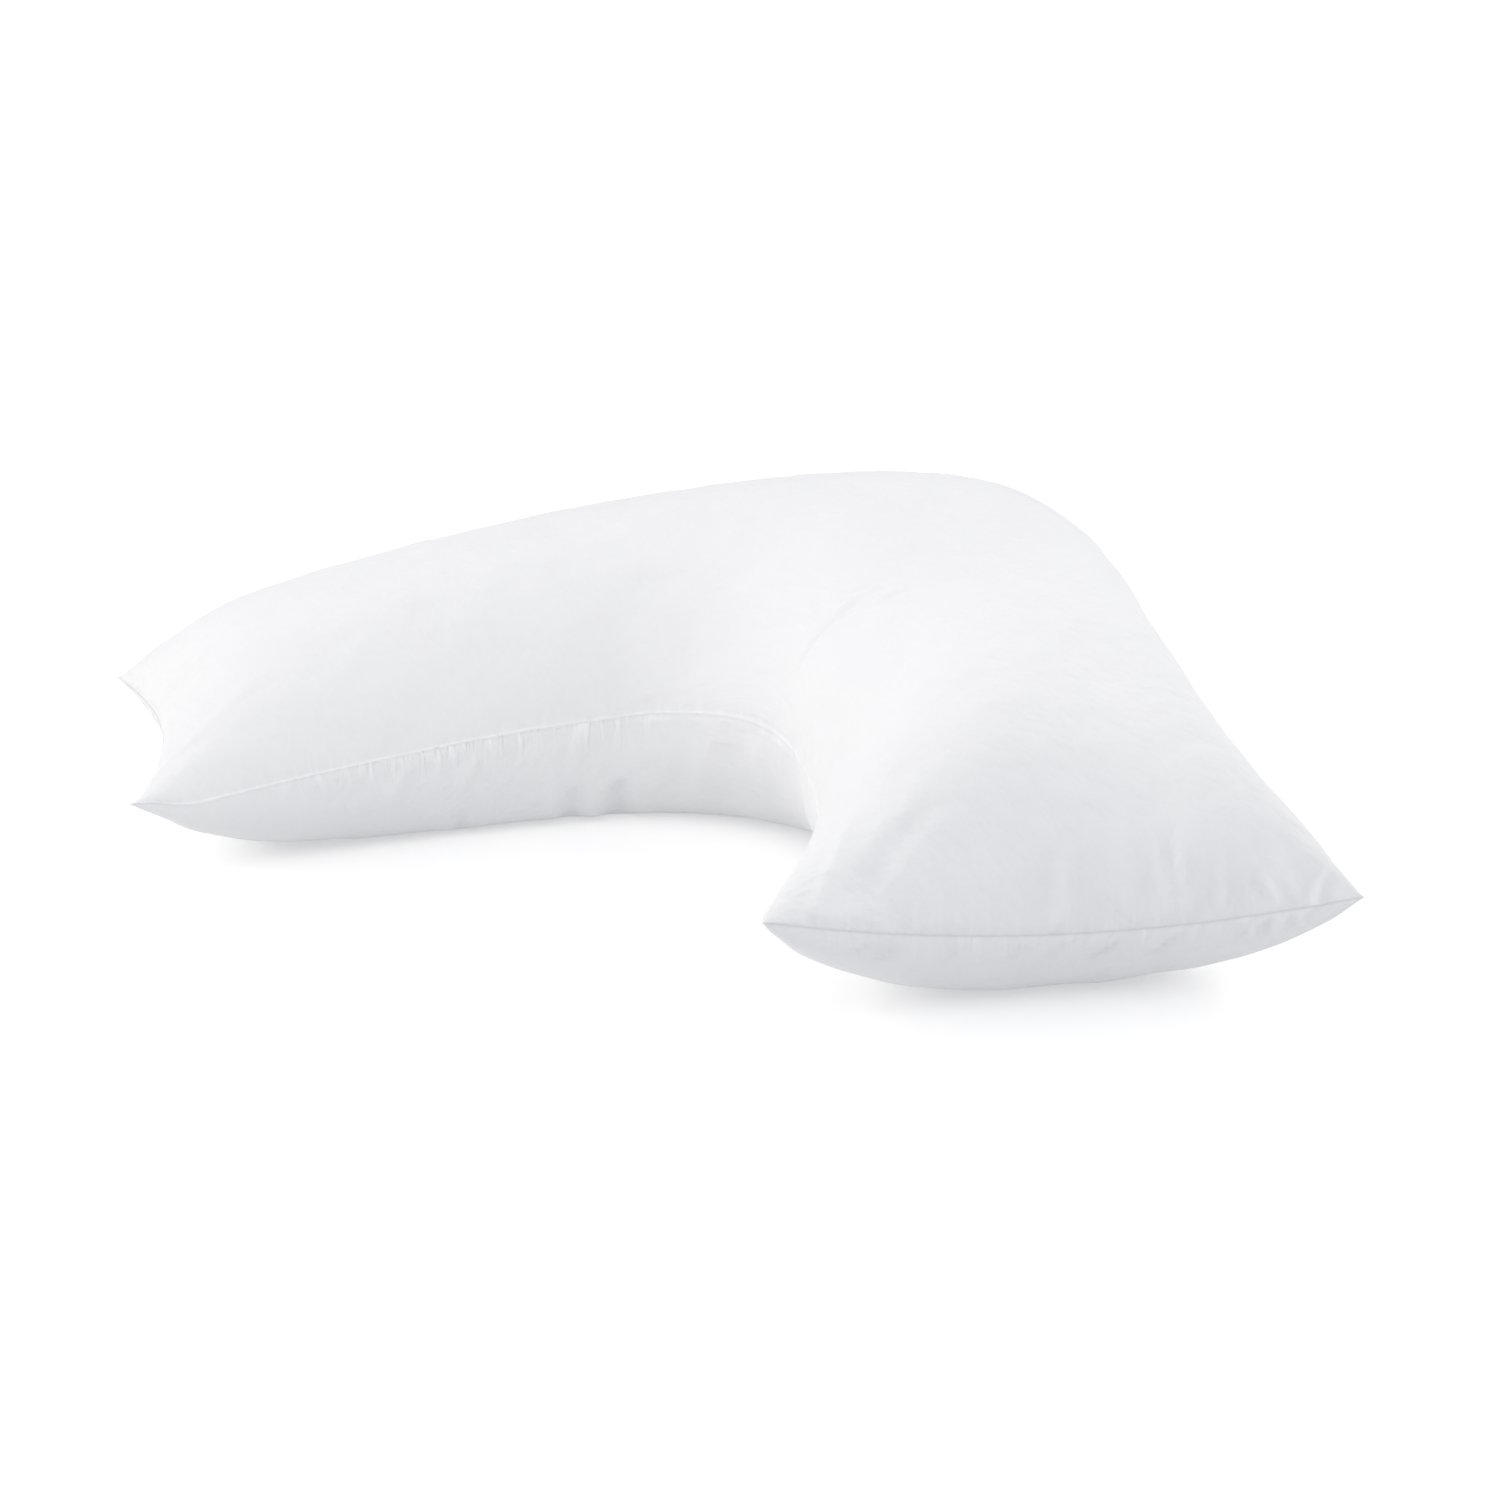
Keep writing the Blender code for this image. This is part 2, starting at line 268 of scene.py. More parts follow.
# Turned-in allowance round the notch: its width, how soft its cut edge is, its rise, and where it runs
ALLOWANCE = 0.0085
ALLOWANCE_EDGE = 0.0014
ALLOWANCE_RISE = 0.0007
ALLOWANCE_START = 0.39
ALLOWANCE_STOP = 0.72
ALLOWANCE_FADES = (0.03, 0.10)

# Seam line: how much lighter it is painted along the side seams, a painted highlight, and darker along the
# end seams, a painted shade in their groove
LINE_COLUMNS = ("seam", "start", "stop", "tone")
PAINTED_SEAM_LINES = (
    ("inner", 0.02, 0.44, 0.10),
    ("inner", 0.40, 0.99, 0.04),
    ("outer", 0.02, 1.45, 0.06),
    ("left_end", -1.0, 1.0, -0.22),
    ("right_end", -1.0, 1.0, -0.13),
)
LINE_WIDTH = 0.0008
LINE_FADE = 0.04

# Cotton: its two whites, how rough it is, how many times its whites and its relief vary in a metre, each
# way, and how high the relief stands; ticks are the light crests of the fine gathers, and a painted
# highlight lightens the whites on those crests
COTTON_LIGHT = (0.834, 0.840, 0.858, 1)
COTTON_SHADE = (0.808, 0.812, 0.832, 1)
PATCH_SCALE = (9, 11, 1)
ROUGHNESS = (0.82, 0.96)
THREAD_PITCH = 0.0006
THREAD_HEIGHT = 0.00002
WARP_SCALE = (420, 18, 1)
WEFT_SCALE = (18, 420, 1)
YARN_HEIGHT = 0.00008
RIPPLE_SCALE = (55, 75, 1)
RIPPLE_HEIGHT = 0.0016
TICK_SCALE = (150, 28, 1)
TICK_CREST = (0.46, 0.68)
TICK_HEIGHT = 0.0010
TICK_PAINTED_HIGHLIGHT = 0.09

# Studio: the sky, the floor's white and glow as they light the pillow and as they are seen, near the pillow
# and far off, and the lights, all aimed at AIM, with sizes in metres and powers in watts
SKY_STRENGTH = 0.284
SKY_COLOUR = (0.605, 0.721, 1.0)
LAMP_COLOUR = (1.0, 0.957, 0.868)
AIM = (0, 0, 0.1)
FLOOR_REACH = 60
FLOOR_WHITE_LIT = 0.60
FLOOR_WHITE_SEEN = 0.85
FLOOR_GLOW_LIT = 0.31
FLOOR_GLOW_NEAR = 0.27
FLOOR_GLOW_FAR = 1.1
FLOOR_GLOW_RANGE = (1.3, 4.0)
LAMP_COLUMNS = ("name", "place", "size", "power")
LAMPS = (
    ("back_low", (-1.60, 2.48, 0.62), 2.0, 11.8),
    ("left_low", (-2.48, -1.61, 0.62), 2.0, 25.3),
    ("front_left_low", (-0.62, -2.89, 0.62), 2.0, 19.5),
    ("right_low", (2.48, 1.61, 0.62), 2.0, 17.1),
    ("back_left", (-2.25, 0.48, 2.03), 2.0, 18.7),
    ("left", (-1.93, -1.25, 2.03), 2.0, 8.1),
    ("front", (1.25, -1.93, 2.03), 2.0, 15.7),
    ("front_right", (2.25, -0.48, 2.03), 2.0, 11.5),
    ("back", (0.48, 2.25, 2.03), 2.0, 26.2),
    ("near_left", (-0.90, -0.55, 0.80), 0.8, 1.14),
    ("near_front", (0.00, -0.50, 0.80), 0.8, 0.62),
    ("near_right", (1.05, 0.45, 0.60), 0.8, 1.93),
    ("near_top", (0.20, -0.20, 1.00), 0.8, 1.50),
)


def column(name):
    """One named column of the section table."""
    place = SECTION_COLUMNS.index(name)
    return np.array([row[place] for row in SECTIONS])


def spline(knots, values, share):
    """The natural cubic spline through values at their knots."""
    count = len(knots)
    gaps = np.diff(knots)
    matrix = np.eye(count)
    bends = np.zeros(count)
    for i in range(1, count - 1):
        matrix[i, i - 1:i + 2] = gaps[i - 1], 2 * (gaps[i - 1] + gaps[i]), gaps[i]
        bends[i] = 6 * ((values[i + 1] - values[i]) / gaps[i] - (values[i] - values[i - 1]) / gaps[i - 1])
    second = np.linalg.solve(matrix, bends)
    low = np.clip(np.searchsorted(knots, share) - 1, 0, count - 2)
    high = low + 1
    gap = gaps[low]
    past = share - knots[low]
    left = knots[high] - share
    curve = (second[low] * left**3 + second[high] * past**3) / (6 * gap)
    return (curve + (values[low] / gap - second[low] * gap / 6) * left
            + (values[high] / gap - second[high] * gap / 6) * past)


def end_size(name, is_left):
    """A size of the nearer end, picked point by point."""
    place = END_COLUMNS.index(name)
    return np.where(is_left, ENDS["left"][place], ENDS["right"][place])


def middle_line(along):
    """Point, direction and outward normal of the middle line at a signed length from the bend's middle."""
    turn = (np.pi - ARM_ANGLE) / 2
    length = np.abs(along)
    side = np.where(along < 0, -1.0, 1.0)
    angle = np.minimum(length / BEND_RADIUS, turn)
    straight = np.maximum(length - BEND_RADIUS * turn, 0)
    x = BEND_RADIUS * np.sin(angle) + straight * np.cos(turn)
    y = BEND_RADIUS * (np.cos(angle) - 1) - straight * np.sin(turn)
    point = np.stack([side * x, y], -1)
    direction = np.stack([np.cos(angle), -side * np.sin(angle)], -1)
    outward = np.stack([side * np.sin(angle), np.cos(angle)], -1)
    return point, direction, outward


def end_closing(from_end):
    """How far the pillow has opened at a length in from its end: 0 at the end seam, 1 past END_LENGTH."""
    return 1 - (1 - np.clip(from_end / END_LENGTH, 0, 1)) ** 2


def eased(count, way, length):
    """Places along one way in from a seam: even steps of length, shortened near the seam by
    SEAM_BUNCHING e^(-t / SEAM_SHARE)."""
    t = np.linspace(0, 1, count)
    short = SEAM_BUNCHING * SEAM_SHARE
    target = (t - short * (1 - np.exp(-t / SEAM_SHARE))) / (1 - short * (1 - np.exp(-1 / SEAM_SHARE)))
    return np.interp(target * length[-1], length, way)


def lattice():
    """Grid of share and across, with steps that stay even along a mean section of the crown and shrink
    towards the seams."""
    dense = np.linspace(0, 1, FINE_STEPS) ** 3
    crown = column("crown").mean()
    width = (column("inner").mean() + column("outer").mean()) / 2
    reach = (REACH["left"] + REACH["right"]) / 2
    rise = crown * (1 - (1 - dense) ** CROWN_FULLNESS) ** CROWN_ROUNDNESS
    length = np.concatenate([[0], np.cumsum(np.hypot(np.diff(dense * width), np.diff(rise)))])
    across = eased(COLUMNS // 2 + 1, dense, length)
    rise = crown * end_closing(dense * reach) ** CROWN_ROUNDNESS
    length = np.concatenate([[0], np.cumsum(np.hypot(np.diff(dense * reach), np.diff(rise)))])
    share = eased(ROWS // 2 + 1, dense, length)
    share, across = (np.concatenate([way - 1, 1 - way[-2::-1]]) for way in (share, across))
    return np.meshgrid(share, across, indexing="ij")


def panels(share, across):
    """The two panels' points over a grid, and the way sideways out of the seams: the plan from the
    sections, with spread tips and drawn-in ends, the crown as a power of one minus a power of across, and
    the belly that lands on the floor."""
    is_left = share < 0
    reach = np.where(is_left, REACH["left"], REACH["right"])
    point, direction, outward = middle_line(share * reach)
    from_end = (1 - np.abs(share)) * reach
    size = {name: spline(column("share"), column(name), share) for name in SECTION_COLUMNS[1:]}

    tip = np.exp(-(from_end / TIP_LENGTH) ** FADE_POWER)
    inner = across < 0
    half = np.where(inner, size["inner"], size["outer"])
    flare = np.where(inner, end_size("inner_flare", is_left), end_size("outer_flare", is_left))
    to_outer = (across + 1) / 2
    back = end_size("inner_back", is_left) * (1 - to_outer) + end_size("outer_back", is_left) * to_outer
    drawn = end_size("drawn_in", is_left) * (1 - across**2) * np.exp(-(from_end / TIP_LENGTH) ** 2)
    side = np.where(is_left, -1.0, 1.0)
    plan = point + outward * (across * (half + flare * tip))[..., None]
    plan = plan - direction * (side * (back * tip + drawn))[..., None] - np.array(PLAN_MIDDLE)

    ease = np.clip(from_end / END_LENGTH, 0, 1)
    ease = ease * ease * (3 - 2 * ease)
    inner_tip = end_size("inner_tip", is_left)
    outer_tip = end_size("outer_tip", is_left)
    inner_height = inner_tip + (size["inner_seam"] - inner_tip) * ease
    outer_height = outer_tip + (size["outer_seam"] - outer_tip) * ease
    sag = end_size("seam_middle", is_left) - (inner_tip + outer_tip) / 2
    curl = end_size("inner_curl", is_left) * np.exp(-(from_end / CURL_LENGTH) ** 2)
    curl = curl * np.clip(-across, 0, 1) ** CURL_POWER
    seam = inner_height * (1 - to_outer) + outer_height * to_outer
    seam = seam + sag * (1 - across**2) * (1 - ease) + curl

    closing = end_closing(from_end)
    leaned = across + CROWN_LEAN * (1 - across**2)
    dome = np.clip(closing * (1 - np.abs(leaned) ** CROWN_FULLNESS), 0, 1) ** CROWN_ROUNDNESS
    top = np.concatenate([plan, (seam + size["crown"] * dome)[..., None]], -1)
    bowl = np.clip(closing * (1 - np.abs(across) ** BELLY_FULLNESS), 0, 1)
    bowl = (1 - (1 - bowl) ** BELLY_CURVE) ** BELLY_ROUNDNESS
    above = np.maximum(seam * (1 - BELLY_FLATTENING * bowl), 0)
    above = above * above / (above + LANDING) * (seam + LANDING) / seam
    tuck = np.where(is_left, TUCK, 0) * (1 - np.exp(-from_end / TUCK_START))
    tuck = side * tuck * np.exp(-(from_end / TUCK_REACH) ** 2)
    bottom = np.concatenate([plan - direction * tuck[..., None], above[..., None]], -1)

    to_side = np.abs(across) ** SIDE_POWER
    to_end = np.clip(1 - from_end / (TIP_LENGTH / 2), 0, 1) ** END_POWER
    out = outward * (np.sign(across) * to_side)[..., None] + direction * (side * to_end)[..., None]
    out = out / np.maximum(np.linalg.norm(out, axis=-1, keepdims=True), 1e-9)
    return top, bottom, np.concatenate([out, np.zeros(share.shape + (1,))], -1)


def normals(points, sign):
    """Outward unit normals of a grid: the cross product of its two step directions."""
    normal = np.cross(np.gradient(points, axis=0), np.gradient(points, axis=1)) * sign
    return normal / np.maximum(np.linalg.norm(normal, axis=-1, keepdims=True), 1e-12)


def run_length(points, axis):
    """Length along the surface up to each point, down the rows (axis 0) or over the columns (axis 1)."""
    step = np.linalg.norm(np.diff(points, axis=axis), axis=-1)
    start = np.zeros_like(step[:1] if axis == 0 else step[:, :1])
    return np.concatenate([start, np.cumsum(step, axis)], axis)


def seam_places(points):
    """For each seam, every point's distance from it and its place along it, both measured on the surface."""
    down, over = run_length(points, 0), run_length(points, 1)
    whole = np.ones(points.shape[:2])
    return {
        "inner": (over, run_length(points[:, :1], 0) * whole),
        "outer": (over[:, -1:] - over, run_length(points[:, -1:], 0) * whole),
        "left_end": (down, run_length(points[:1], 1) * whole),
        "right_end": (down[-1:] - down, run_length(points[-1:], 1) * whole),
    }


def nearest_seam(seams):
    """Length along the surface from each point to the nearest seam."""
    return np.minimum.reduce([away for away, place in seams.values()])


def off_seams(seams, start):
    """0 at the seams and 1 well away from them: one minus a bell of the distance over start."""
    return 1 - np.exp(-(nearest_seam(seams) / start) ** 2)


def ridge(step):
    """A rounded ridge between two shallow valleys: (1 - RIDGE_VALLEYS s^2) exp(-s^2), where s is the step
    over RIDGE_BREADTH."""
    s = step / RIDGE_BREADTH
    return (1 - RIDGE_VALLEYS * s**2) * np.exp(-s**2)


def tapered(run, taper):
    """1 along the middle of a run from 0 to 1, easing to 0 over a taper at both of its ends."""
    inside = np.clip(run / taper, 0, 1) * np.clip((1 - run) / taper, 0, 1)
    return inside**2 * (3 - 2 * inside)


def puckering(table, panel, seams):
    """Height of a table's puckers over a panel: bells across, steeper on their first side, that rise from
    their root at the seam, die out over their reach, and vary in place, width, length, drift and height."""
    chance = np.random.default_rng(PUCKER_SEED + len(table))
    total = 0
    for row in table:
        stretch = dict(zip(PUCKER_COLUMNS, row))
        pitch = stretch["pitch"]
        count = int((stretch["stop"] - stretch["start"]) / pitch)
        draws = chance.uniform(-1, 1, (count, 5))
        if stretch["panel"] != panel:
            continue
        away, place = seams[stretch["seam"]]
        rise = 1 - (1 - stretch["root"]) * np.exp(-(away / ROOT_REACH) ** 2)
        for i, (shift, width, length, drift, height) in enumerate(draws):
            centre = stretch["start"] + (i + 0.5 + PUCKER_SHIFT * shift) * pitch
            half = pitch * (PUCKER_WIDTH[0] + PUCKER_WIDTH[1] * width)
            reach = stretch["reach"] * 2.0 ** length
            step = (place - centre - PUCKER_DRIFT * drift * away) / half
            step = np.where(step < 0, step * PUCKER_LEAN, step / PUCKER_LEAN)
            bell = np.where(np.abs(step) < PUCKER_CUT, np.exp(-step**2), 0)
            size = stretch["height"] * (PUCKER_SIZE[0] + PUCKER_SIZE[1] * height)
            total = total + bell * size * rise * np.exp(-(away / reach) ** FADE_POWER)
    return total


def seam_folds(panel, seams):
    """Height of the single folds by the seams: each a ridge or a valley along its own leaning line."""
    total = 0
    for row in FOLDS:
        fold = dict(zip(FOLD_COLUMNS, row))
        if fold["panel"] != panel:
            continue
        away, place = seams[fold["seam"]]
        step = (place - fold["place"] - fold["lean"] * (away - fold["near"])) / fold["half_width"]
        run = (away - fold["near"]) / (fold["far"] - fold["near"])
        total = total + fold["height"] * ridge(step) * tapered(run, FOLD_TAPER)
    return total


def seam_stand(seams):
    """How far each point stands out sideways: a narrow bell over the seam's edge, or a groove."""
    near = {name: np.exp(-(seams[name][0] / SEAM_BREADTH) ** 2) for name in SEAM_STAND}
    total = sum(near.values())
    stand = sum(SEAM_STAND[name] * near[name] for name in near) / np.maximum(total, 1e-9)
    return stand * np.clip(total, 0, 1)


def allowance(seams):
    """Height of the turned-in allowance under the bottom panel round the notch: a ramp away from the seam
    that drops at its cut edge, faded in and out along the seam."""
    away, place = seams["inner"]
    drop = np.clip((away - ALLOWANCE) / ALLOWANCE_EDGE, -1, 1)
    fade_in, fade_out = ALLOWANCE_FADES
    along = np.clip((place - ALLOWANCE_START) / fade_in, 0, 1)
    along = along * np.clip((ALLOWANCE_STOP - place) / fade_out, 0, 1)
    return ALLOWANCE_RISE * along * away / ALLOWANCE * (1 - np.sin(drop * np.pi / 2)) / 2


def bend_creases(share, across):
    """Height of the creases round the bend: each a narrow ridge or valley along a bowed line."""
    total = 0
    reach = (REACH["left"] + REACH["right"]) / 2
    shrink = 1 + across * column("inner").mean() / BEND_RADIUS
    for row in CREASES:
        crease = dict(zip(CREASE_COLUMNS, row))
        run = (across - crease["across_low"]) / (crease["across_high"] - crease["across_low"])
        rise = crease["share_high"] - crease["share_low"]
        middle = crease["share_low"] + rise * np.clip(run, 0, 1) ** crease["bow"]
        step = (share - middle) * reach * shrink / crease["half_width"]
        total = total + crease["height"] * ridge(step) * tapered(run, CREASE_TAPER)
    return total


def broad_swells(share, across, seams):
    """Height of the broad swells and hollows: each a bell over share and across, fading out at the seams."""
    total = 0
    for row in SWELLS:
        swell = dict(zip(SWELL_COLUMNS, row))
        along = (share - swell["share"]) / swell["spread_along"]
        over = (across - swell["across"]) / swell["spread_across"]
        total = total + swell["height"] * np.exp(-along**2 - over**2)
    return total * off_seams(seams, SWELL_START)


def filling_lumps(panel, points, seams):
    """Height of the soft lumps of filling: round swells and hollows, fading out at the seams."""
    chance = np.random.default_rng(LUMP_SEED + (panel == "top"))
    total = 0
    rows, cols = points.shape[:2]
    for i in range(LUMP_COUNT):
        row, col = chance.integers(0, rows), chance.integers(0, cols)
        size = chance.uniform(*LUMP_SIZE)
        gap = ((points - points[row, col]) ** 2).sum(-1)
        total = total + chance.uniform(-1, 1) * np.exp(-gap / size**2)
    return LUMP_HEIGHT[panel] * total * off_seams(seams, LUMP_START)


def flat_cut(share, points):
    """The panel's flat cut in metres: lengths along the surface, laid off from the bent middle line."""
    middle_row, middle_column = share.shape[0] // 2, share.shape[1] // 2
    over = run_length(points, 1)
    over = over - over[:, middle_column:middle_column + 1]
    along = run_length(points[:, middle_column:middle_column + 1], 0)
    along = (along - along[middle_row]) * np.ones(share.shape)
    point, direction, outward = middle_line(along)
    return point + outward * over[..., None]


def unevenness(cut, seams):
    """Height of the cloth's soft unevenness: the sum of plane waves with random directions over the cut."""
    chance = np.random.default_rng(WAVE_SEED)
    total = 0
    for i in range(WAVE_COUNT):
        turn, phase = chance.uniform(0, 2 * np.pi, 2)
        length = chance.uniform(*WAVE_LENGTHS)
        step = cut[..., 0] * np.cos(turn) + cut[..., 1] * np.sin(turn)
        total = total + np.cos(2 * np.pi * step / length + phase)
    return WAVE_HEIGHT * total * np.sqrt(2 / WAVE_COUNT) * off_seams(seams, WAVE_START)


def seam_run(panel, seams):
    """Place along the nearest seam and distance from it, in metres; each seam of each panel has its own
    stretch of the count, so that its fine gathers are its own."""
    first = len(seams) * (panel == "bottom")
    away = np.stack([pair[0] for pair in seams.values()])
    place = np.stack([pair[1] + RUN_APART * (first + i) for i, pair in enumerate(seams.values())])
    nearest = away.argmin(0)[None]
    return np.stack([np.take_along_axis(values, nearest, 0)[0] for values in (place, away)], -1)


def fine_gathers(panel, seams):
    """Strength from 0 to 1 of the fine gathers: most at the seam, fading with distance and at the ends of
    each stretch."""
    total = 0
    for row in FINE_GATHERS:
        stretch = dict(zip(FINE_COLUMNS, row))
        if stretch["panel"] != panel:
            continue
        away, place = seams[stretch["seam"]]
        start = np.clip((place - stretch["start"]) / FINE_FADE, 0, 1)
        stop = np.clip((stretch["stop"] - place) / FINE_FADE, 0, 1)
        fade = np.exp(-(away / stretch["depth"]) ** FADE_POWER)
        total = total + stretch["strength"] * start * stop * fade
    return np.clip(total, 0, 1)


def painted_seam_shading(seams):
    """Painted light and shade of the seam line: a narrow bell over each stretch, up for a painted highlight
    and down for a painted shade."""
    total = 0
    for row in PAINTED_SEAM_LINES:
        line = dict(zip(LINE_COLUMNS, row))
        away, place = seams[line["seam"]]
        start = np.clip((place - line["start"]) / LINE_FADE, 0, 1)
        stop = np.clip((line["stop"] - place) / LINE_FADE, 0, 1)
        total = total + line["tone"] * start * stop * np.exp(-(away / LINE_WIDTH) ** 2)
    return total


def put_corners(mesh, name, top, bottom):
    """A UV map from one pair of numbers for each grid point of both panels."""
    parts = []
    for values, step in ((top, 1), (bottom, -1)):
        corners = (values[:-1, :-1], values[1:, :-1], values[1:, 1:], values[:-1, 1:])
        parts.append(np.stack([corner.reshape(-1, 2) for corner in corners], 1)[:, ::step])
    layer = mesh.uv_layers.new(name=name)
    layer.uv.foreach_set("vector", np.concatenate(parts).astype(np.float32).ravel())


def put_points(mesh, name, upper, lower, top, bottom):
    """A number for each point of the mesh, from both panels' grids."""
    values = np.zeros(len(mesh.vertices), np.float32)
    values[lower] = bottom
    values[upper] = top
    mesh.attributes.new(name, "FLOAT", "POINT").data.foreach_set("value", values)


def closed_mesh(name, top, bottom):
    """One mesh of quads from two grids that share their border; also the vertex numbers of both."""
    rows, cols = top.shape[:2]
    upper = np.arange(rows * cols).reshape(rows, cols)
    lower = upper.copy()
    inside = np.zeros((rows, cols), bool)
    inside[1:-1, 1:-1] = True
    lower[inside] = rows * cols + np.arange(inside.sum())
    points = np.concatenate([top.reshape(-1, 3), bottom[inside]])
    faces = []
    for index, step in ((upper, 1), (lower, -1)):
        corners = (index[:-1, :-1], index[1:, :-1], index[1:, 1:], index[:-1, 1:])
        faces.append(np.stack([corner.ravel() for corner in corners], 1)[:, ::step])
    mesh = bpy.data.meshes.new(name)
    mesh.from_pydata(points.tolist(), [], np.concatenate(faces).tolist())
    mesh.polygons.foreach_set("use_smooth", np.ones(len(mesh.polygons), bool))
    mesh.update()
    return mesh, upper, lower


def relaxed(top, bottom):
    """Moves of both grids' points when the cloth by the seams gets a little spare length and the filling
    presses it out: Blender's cloth, held at the seam and more and more towards the middle."""
    mesh, upper, lower = closed_mesh("cloth", top, bottom)
    start = np.concatenate([top.reshape(-1, 3), bottom[1:-1, 1:-1].reshape(-1, 3)])
    body = bpy.data.objects.new("cloth", mesh)
    bpy.context.scene.collection.objects.link(body)
    spare = np.zeros(len(start))
    held = np.zeros(len(start))
    for panel, points, index in (("bottom", bottom, lower), ("top", top, upper)):
        away = nearest_seam(seam_places(points))
        spare[index] = SPARE[panel] * np.exp(-(away / SPARE_REACH) ** 2)
        held[index] = np.where(away < 1e-9, 1, 1 - np.exp(-(away / FREE_REACH) ** 2))
    most = max(SPARE.values())
    for name, weights in (("spare", spare / most), ("held", held)):
        group = body.vertex_groups.new(name=name)
        levels = np.round(weights * HOLD_LEVELS).astype(int)
        for level in range(1, HOLD_LEVELS + 1):
            group.add(np.nonzero(levels == level)[0].tolist(), level / HOLD_LEVELS, "REPLACE")

    modifier = body.modifiers.new("cloth", "CLOTH")
    cloth = modifier.settings
    cloth.quality = 6
    cloth.mass = 0.1
    cloth.tension_stiffness = cloth.compression_stiffness = 30
    cloth.shear_stiffness = 10
    cloth.bending_stiffness = 0.15
    cloth.tension_damping = cloth.compression_damping = cloth.shear_damping = 5
    cloth.use_pressure = True
    cloth.uniform_pressure_force = 4
    cloth.vertex_group_mass = "held"
    cloth.vertex_group_shrink = "spare"
    cloth.shrink_min = 0
    cloth.shrink_max = -most
    cloth.effector_weights.gravity = 0
    modifier.collision_settings.use_collision = False
    modifier.point_cache.frame_start = 1
    modifier.point_cache.frame_end = CLOTH_FRAMES
    for number in range(1, CLOTH_FRAMES + 1):
        bpy.context.scene.frame_set(number)
    shown = body.evaluated_get(bpy.context.evaluated_depsgraph_get())
    end = np.zeros(len(start) * 3, np.float32)
    shown.to_mesh().vertices.foreach_get("co", end)
    shown.to_mesh_clear()
    bpy.data.objects.remove(body)
    bpy.context.scene.frame_set(1)
    move = end.reshape(-1, 3) - start
    return move[upper], move[lower]


def doubled(values):
    """A grid with a point put between every two, on the cubic through its four neighbours."""
    for axis in (0, 1):
        rows = np.swapaxes(values, 0, axis)
        middle = (rows[:-1] + rows[1:]) / 2
        middle[1:-1] = (9 * (rows[1:-2] + rows[2:-1]) - rows[:-3] - rows[3:]) / 16
        both = np.empty((2 * len(rows) - 1,) + rows.shape[1:])
        both[::2] = rows
        both[1::2] = middle
        values = np.swapaxes(both, 0, axis)
    return values


def capped(move):
    """Moves eased to stay under MOVE_CAP."""
    size = np.linalg.norm(move, axis=-1, keepdims=True)
    return move * np.where(size > 0, np.tanh(size / MOVE_CAP) * MOVE_CAP / np.maximum(size, 1e-9), 1)


def joined(grids, share):
    """Both grids with their borders brought together, halfway between."""
    border = np.zeros(share.shape, bool)
    border[[0, -1], :] = True
    border[:, [0, -1]] = True
    shared = (grids["top"] + grids["bottom"])[border] / 2
    for points in grids.values():
        points[border] = shared
    return grids


def cover():
    """The filled cover: both panels with gathers, puckers, folds, creases and the sewn seam."""
    share, across = lattice()
    top, bottom, sideways = panels(share, across)
    plain = {"top": top, "bottom": bottom}
    seams = {name: seam_places(points) for name, points in plain.items()}
    cuts = {name: flat_cut(share, points) for name, points in plain.items()}
    grids = {}
    for name, sign in (("top", 1), ("bottom", -1)):
        height = puckering(GATHERS, name, seams[name]) + filling_lumps(name, plain[name], seams[name])
        if name == "top":
            height = height + broad_swells(share, across, seams[name]) + bend_creases(share, across)
        grids[name] = plain[name] + normals(plain[name], sign) * height[..., None]
    grids = joined(grids, share)
    moves = relaxed(*(grids[name][::2, ::2].copy() for name in ("top", "bottom")))
    for name, move in zip(("top", "bottom"), moves):
        grids[name] = grids[name] + doubled(capped(move))
    for name, sign in (("top", 1), ("bottom", -1)):
        height = puckering(PUCKERS, name, seams[name]) + seam_folds(name, seams[name])
        if name == "bottom":
            height = height + allowance(seams[name])
        height = height + unevenness(cuts[name], seams[name])
        grids[name] = grids[name] + normals(grids[name], sign) * height[..., None]
        grids[name] = grids[name] + sideways * seam_stand(seams[name])[..., None]
    grids = joined(grids, share)
    for name in grids:
        grids[name][..., 2] = np.maximum(grids[name][..., 2], 0)
    mesh, upper, lower = closed_mesh("cover", grids["top"], grids["bottom"])
    put_corners(mesh, "cut", cuts["top"], cuts["bottom"])
    put_corners(mesh, "seam_run", *(seam_run(name, seams[name]) for name in ("top", "bottom")))
    gathers = [fine_gathers(name, seams[name]) for name in ("top", "bottom")]
    put_points(mesh, "gather", upper, lower, *gathers)
    # The seam line's painted highlight and shade, kept for each point for the cotton's colour
    tones = [painted_seam_shading(seams[name]) for name in ("top", "bottom")]
    put_points(mesh, "painted_seam_shading", upper, lower, *tones)
    return bpy.data.objects.new("cover", mesh)


